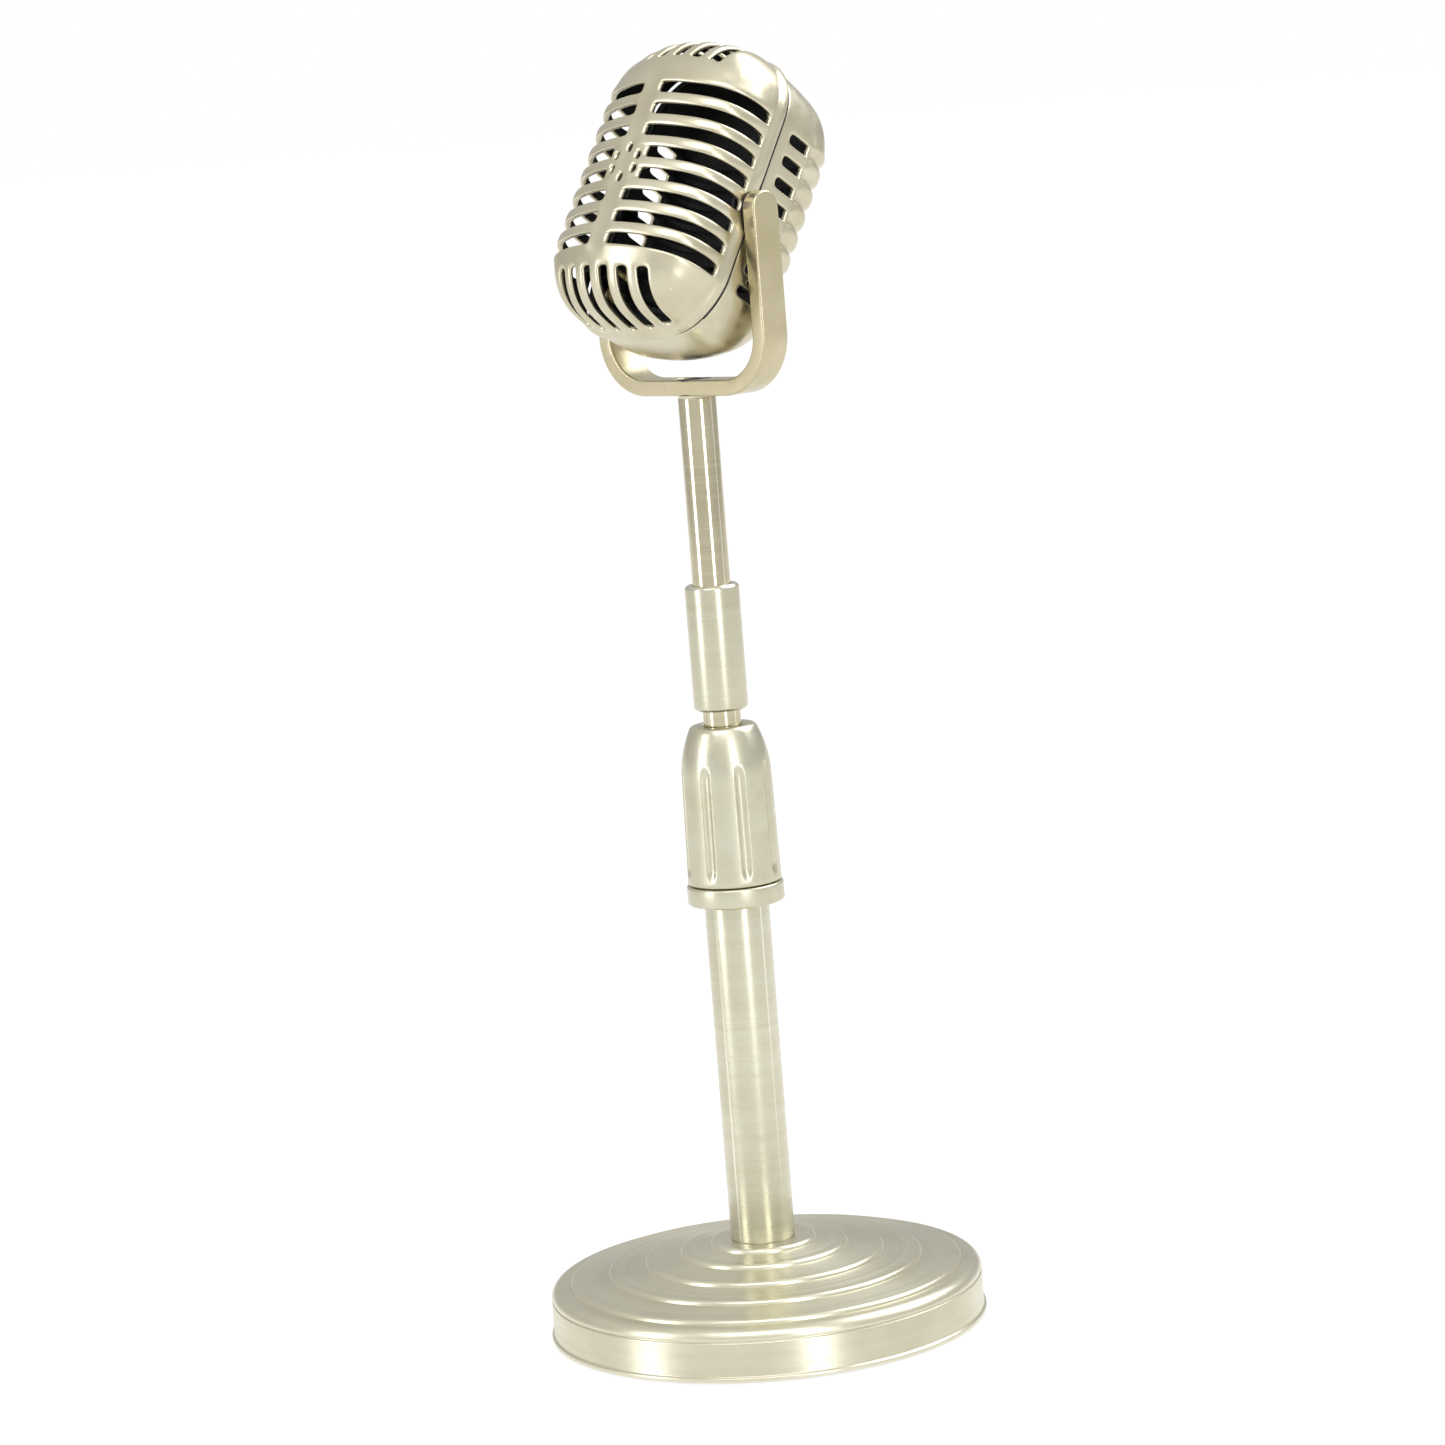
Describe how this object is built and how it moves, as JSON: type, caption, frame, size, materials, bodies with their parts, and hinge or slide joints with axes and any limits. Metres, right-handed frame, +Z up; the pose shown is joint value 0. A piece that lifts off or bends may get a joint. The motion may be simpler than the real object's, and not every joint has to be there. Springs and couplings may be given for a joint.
{
  "type": "toy microphone",
  "caption": "Retro desk microphone prop: a slotted pill-shaped head tilts in a U yoke on a telescopic stand with a round stepped base.",
  "frame": {"origin": "middle of the base's underside, on the floor", "axes": "+Z up along the stand; the head's front faces -Y; the yoke's arms stand at +X and -X"},
  "size_m": [0.14, 0.14, 0.4083],
  "materials": {
    "base_plating": "spun steel, satin champagne-gold plating",
    "tube_plating": "steel tube, satin champagne-gold plating",
    "clutch_plating": "turned aluminium, satin champagne-gold anodising",
    "rod_plating": "steel tube, polished champagne-gold plating",
    "yoke_plating": "flat steel bar, satin champagne-gold plating",
    "head_plating": "moulded ABS with satin champagne-gold plating, black inside",
    "cast_iron": "rough cast, painted dark",
    "pad_foam": "black EVA foam disc",
    "plain_steel": "zinc plated",
    "nylon": "black nylon",
    "black_fibre": "black fibre washer",
    "black_screw": "black oxide"
  },
  "bodies": {
    "stand": {"base_shell": "base_plating", "base_weight": "cast_iron", "base_pad": "pad_foam", "base_washer": "plain_steel", "base_nut": "plain_steel", "lower_tube": "tube_plating", "tube_plug": "plain_steel", "clutch_body": "clutch_plating", "clutch_collet": "nylon"},
    "clutch": {"clutch_grip": "clutch_plating"},
    "mast": {"mast_rod": "rod_plating", "rod_bush": "nylon", "rod_sleeve": "tube_plating", "rod_insert": "plain_steel", "swivel_washer": "nylon", "yoke_screw": "plain_steel"},
    "yoke": {"yoke": "yoke_plating", "pivot_washers": "black_fibre", "pivot_springs": "plain_steel", "pivot_screws": "plain_steel"},
    "head": {"pivot_bushes": "nylon", "front_shell": "head_plating", "rear_shell": "head_plating", "case_screws": "black_screw"}
  },
  "joints": [
    {"name": "clutch_twist", "type": "hinge", "parent": "stand", "child": "clutch", "pos_m": [0, 0, 0.1441], "axis": [0, 0, 1], "range_deg": [0, 120]},
    {"name": "mast_slide", "type": "slide", "parent": "stand", "child": "mast", "axis": [0, 0, 1], "range_m": [-0.0045, 0.09]},
    {"name": "yoke_swivel", "type": "hinge", "parent": "mast", "child": "yoke", "pos_m": [0, 0, 0.2987], "axis": [0, 0, 1], "continuous": true},
    {"name": "head_tilt", "type": "hinge", "parent": "yoke", "child": "head", "pos_m": [0, 0, 0.3555], "axis": [-1, 0, 0], "range_deg": [-123, 57]}
  ]
}
